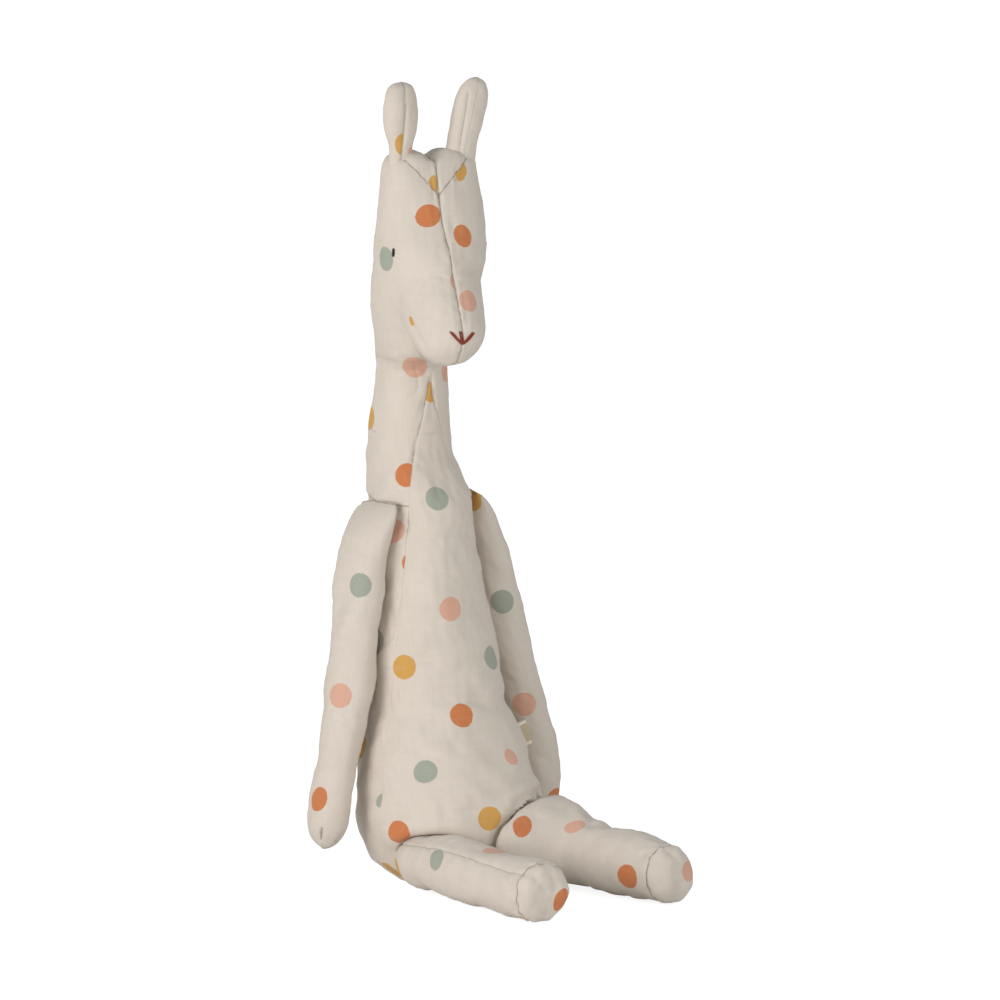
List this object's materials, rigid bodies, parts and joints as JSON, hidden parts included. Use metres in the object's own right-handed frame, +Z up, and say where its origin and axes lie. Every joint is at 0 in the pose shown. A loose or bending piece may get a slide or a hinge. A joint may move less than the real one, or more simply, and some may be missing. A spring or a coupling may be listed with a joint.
{
  "type": "plush giraffe",
  "caption": "Stuffed linen giraffe seated on a flat base, with a long neck, a turnable head, ears, hanging arms, forward legs with sewn hoof caps, and a tail.",
  "frame": {"origin": "centre of the flat seat under the body, on the surface that it sits on", "axes": "+Z up, the giraffe faces -Y and its left side is +X"},
  "size_m": [0.1367, 0.2009, 0.366],
  "materials": {
    "linen": "matt plain-woven natural linen",
    "stuffing": "loose white fibre",
    "eye_thread": "near-black thread",
    "nose_thread": "rust thread",
    "label_tape": "bare cream cotton tape"
  },
  "bodies": {
    "torso": {"belly_panel": "linen", "body_side_left": "linen", "body_side_right": "linen", "torso_filling": "stuffing"},
    "neck": {"throat_panel": "linen", "neck_side_left": "linen", "neck_side_right": "linen", "neck_filling": "stuffing"},
    "head": {"head_side_left": "linen", "head_side_right": "linen", "crown_gusset_left": "linen", "crown_gusset_right": "linen", "head_filling": "stuffing", "eye_left": "eye_thread", "eye_right": "eye_thread", "nose_stitches": "nose_thread"},
    "ear_left": {"ear_left": "linen"},
    "ear_right": {"ear_right": "linen"},
    "arm_left": {"arm_cover_left": "linen", "arm_filling_left": "stuffing"},
    "arm_right": {"arm_cover_right": "linen", "arm_filling_right": "stuffing"},
    "leg_left": {"leg_cover_left": "linen", "hoof_cap_left": "linen", "leg_filling_left": "stuffing"},
    "leg_right": {"leg_cover_right": "linen", "hoof_cap_right": "linen", "leg_filling_right": "stuffing"},
    "tail": {"tail": "linen"},
    "label": {"side_label": "label_tape"}
  },
  "joints": [
    {"name": "neck_bend", "type": "hinge", "parent": "torso", "child": "neck", "pos_m": [0, 0.02636, 0.17], "axis": [1, 0, 0], "range_deg": [-15, 20], "stiffness_Nm_per_rad": 0.4},
    {"name": "head_turn", "type": "hinge", "parent": "neck", "child": "head", "pos_m": [0, 0.032, 0.232], "axis": [0, 0, 1], "range_deg": [-30, 45], "stiffness_Nm_per_rad": 0.05},
    {"name": "ear_left_fold", "type": "hinge", "parent": "head", "child": "ear_left", "pos_m": [0.01159, 0.00559, 0.3285], "axis": [0.9848, -0.1736, 0], "range_deg": [-30, 30], "stiffness_Nm_per_rad": 0.004},
    {"name": "ear_right_fold", "type": "hinge", "parent": "head", "child": "ear_right", "pos_m": [-0.01992, 0.01114, 0.3285], "axis": [0.9848, -0.1736, 0], "range_deg": [-30, 30], "stiffness_Nm_per_rad": 0.004},
    {"name": "arm_left_raise", "type": "hinge", "parent": "torso", "child": "arm_left", "pos_m": [0.02406, 0.0255, 0.166], "axis": [0, -1, 0], "range_deg": [0, 115]},
    {"name": "arm_right_raise", "type": "hinge", "parent": "torso", "child": "arm_right", "pos_m": [-0.02406, 0.0255, 0.166], "axis": [0, 1, 0], "range_deg": [0, 115]},
    {"name": "leg_left_swing", "type": "hinge", "parent": "torso", "child": "leg_left", "pos_m": [0.0285, -0.019, 0.01575], "axis": [0.9848, 0.1736, 0], "range_deg": [-12, 85]},
    {"name": "leg_right_swing", "type": "hinge", "parent": "torso", "child": "leg_right", "pos_m": [-0.0285, -0.025, 0.01575], "axis": [0.9998, -0.0174, 0], "range_deg": [-12, 85]},
    {"name": "tail_swing", "type": "hinge", "parent": "torso", "child": "tail", "pos_m": [0, 0.041, 0.025], "axis": [1, 0, 0], "range_deg": [0, 75]},
    {"name": "label_flap", "type": "hinge", "parent": "torso", "child": "label", "pos_m": [0.03689, 0, 0.061], "axis": [-0.2896, 0, 0.9571], "range_deg": [-60, 45], "stiffness_Nm_per_rad": 0.00002}
  ]
}
